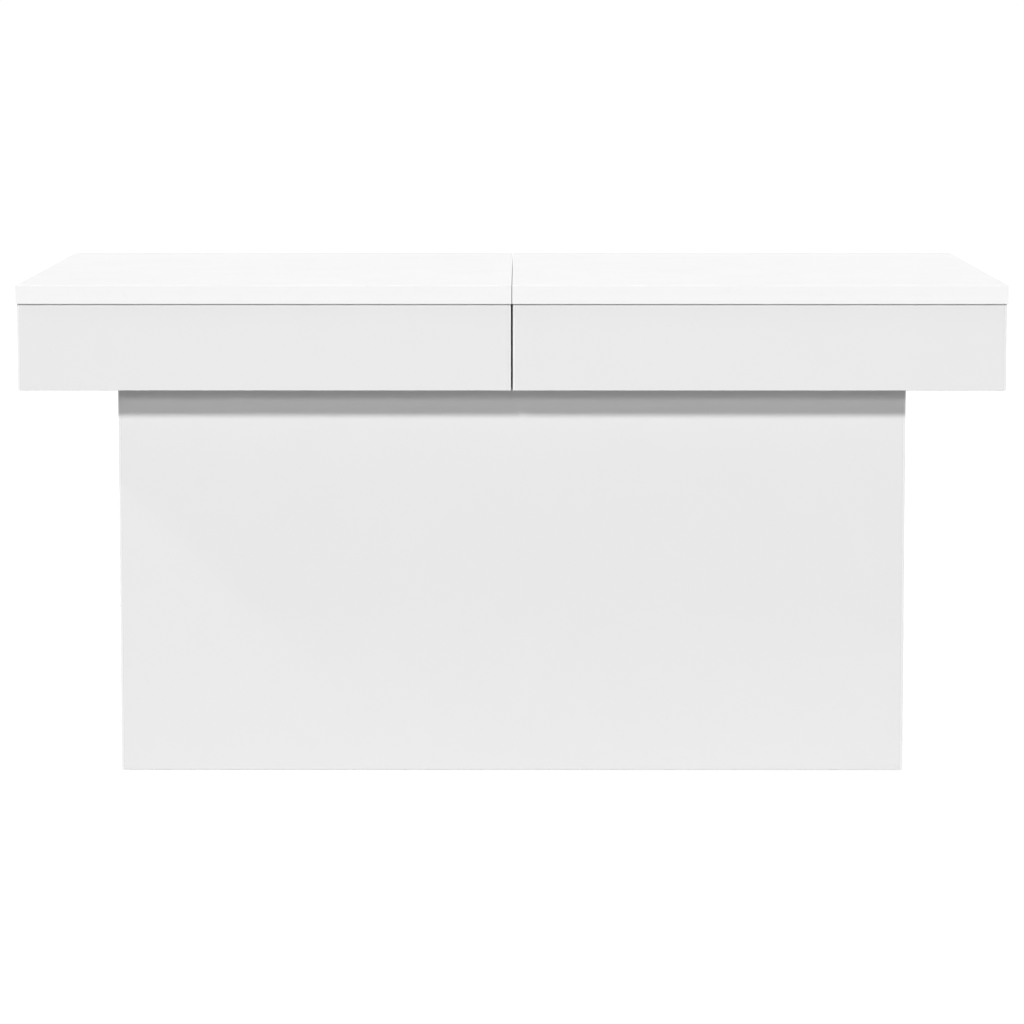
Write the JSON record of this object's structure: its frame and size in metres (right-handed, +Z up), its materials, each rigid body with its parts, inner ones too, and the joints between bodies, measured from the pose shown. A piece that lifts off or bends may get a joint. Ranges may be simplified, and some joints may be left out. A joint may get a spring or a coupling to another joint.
{
  "type": "lift top coffee table",
  "caption": "Boxy pedestal coffee table whose split top is two lids that rise level and forwards on spring-assisted steel arms over storage trays.",
  "frame": {"origin": "on the floor, under the middle of the table", "axes": "+X to the table's right as seen from the front, +Y from the front to the back, +Z up"},
  "size_m": [0.8, 0.5, 0.4],
  "materials": {
    "white_board": "white melamine-faced chipboard, satin",
    "lid_board": "bright white melamine-faced chipboard, satin",
    "black_steel": "black powder coat on pressed sheet steel",
    "zinc_steel": "bright zinc plate",
    "spring_steel": "oiled spring wire",
    "grey_plastic": "moulded, fine matt",
    "black_rubber": "moulded rubber"
  },
  "bodies": {
    "table": {"pedestal_front_panel": "white_board", "pedestal_back_panel": "white_board", "pedestal_left_side": "white_board", "pedestal_right_side": "white_board", "pedestal_floor": "white_board", "pedestal_partition": "white_board", "glide_front_left": "grey_plastic", "glide_front_right": "grey_plastic", "glide_back_left": "grey_plastic", "glide_back_right": "grey_plastic", "left_tray_front_apron": "white_board", "left_tray_back_apron": "white_board", "left_tray_end_apron": "white_board", "left_tray_middle_wall": "white_board", "left_tray_floor_ledge": "white_board", "left_tray_front_rail": "white_board", "left_tray_back_rail": "white_board", "left_middle_base_bracket": "black_steel", "left_middle_rear_pin": "zinc_steel", "left_middle_front_pin": "zinc_steel", "left_middle_lift_spring": "spring_steel", "left_middle_rest_buffer": "black_rubber", "left_end_base_bracket": "black_steel", "left_end_rear_pin": "zinc_steel", "left_end_front_pin": "zinc_steel", "left_end_lift_spring": "spring_steel", "left_end_rest_buffer": "black_rubber", "right_tray_front_apron": "white_board", "right_tray_back_apron": "white_board", "right_tray_end_apron": "white_board", "right_tray_middle_wall": "white_board", "right_tray_floor_ledge": "white_board", "right_tray_front_rail": "white_board", "right_tray_back_rail": "white_board", "right_middle_base_bracket": "black_steel", "right_middle_rear_pin": "zinc_steel", "right_middle_front_pin": "zinc_steel", "right_middle_lift_spring": "spring_steel", "right_middle_rest_buffer": "black_rubber", "right_end_base_bracket": "black_steel", "right_end_rear_pin": "zinc_steel", "right_end_front_pin": "zinc_steel", "right_end_lift_spring": "spring_steel", "right_end_rest_buffer": "black_rubber"},
    "left_rear_arms": {"left_middle_rear_arm": "black_steel", "left_end_rear_arm": "black_steel", "left_sync_bar": "black_steel"},
    "left_front_arms": {"left_middle_front_arm": "black_steel", "left_end_front_arm": "black_steel"},
    "left_lid": {"left_lid_panel": "lid_board", "left_middle_lid_bracket": "black_steel", "left_end_lid_bracket": "black_steel"},
    "right_rear_arms": {"right_middle_rear_arm": "black_steel", "right_end_rear_arm": "black_steel", "right_sync_bar": "black_steel"},
    "right_front_arms": {"right_middle_front_arm": "black_steel", "right_end_front_arm": "black_steel"},
    "right_lid": {"right_lid_panel": "lid_board", "right_middle_lid_bracket": "black_steel", "right_end_lid_bracket": "black_steel"}
  },
  "joints": [
    {"name": "left_lift", "type": "hinge", "parent": "table", "child": "left_rear_arms", "pos_m": [0, -0.13, 0.345], "axis": [1, 0, 0], "range_deg": [0, 112], "stiffness_Nm_per_rad": 1.5, "springref_deg": 112.01, "deforming": ["left_middle_lift_spring", "left_end_lift_spring"]},
    {"name": "left_lid_level", "type": "hinge", "parent": "left_rear_arms", "child": "left_lid", "pos_m": [0, 0.07, 0.345], "axis": [1, 0, 0], "range_deg": [-112, 0]},
    {"name": "left_front_arm_turn", "type": "hinge", "parent": "table", "child": "left_front_arms", "pos_m": [0, -0.173, 0.37], "axis": [1, 0, 0], "range_deg": [0, 112]},
    {"name": "right_lift", "type": "hinge", "parent": "table", "child": "right_rear_arms", "pos_m": [0, -0.13, 0.345], "axis": [1, 0, 0], "range_deg": [0, 112], "stiffness_Nm_per_rad": 1.5, "springref_deg": 112.01, "deforming": ["right_middle_lift_spring", "right_end_lift_spring"]},
    {"name": "right_lid_level", "type": "hinge", "parent": "right_rear_arms", "child": "right_lid", "pos_m": [0, 0.07, 0.345], "axis": [1, 0, 0], "range_deg": [-112, 0]},
    {"name": "right_front_arm_turn", "type": "hinge", "parent": "table", "child": "right_front_arms", "pos_m": [0, -0.173, 0.37], "axis": [1, 0, 0], "range_deg": [0, 112]}
  ],
  "couplings": [
    {"joint": "left_lid_level", "follows": "left_lift", "ratio": -1},
    {"joint": "left_front_arm_turn", "follows": "left_lift", "ratio": 1},
    {"joint": "right_lid_level", "follows": "right_lift", "ratio": -1},
    {"joint": "right_front_arm_turn", "follows": "right_lift", "ratio": 1}
  ]
}
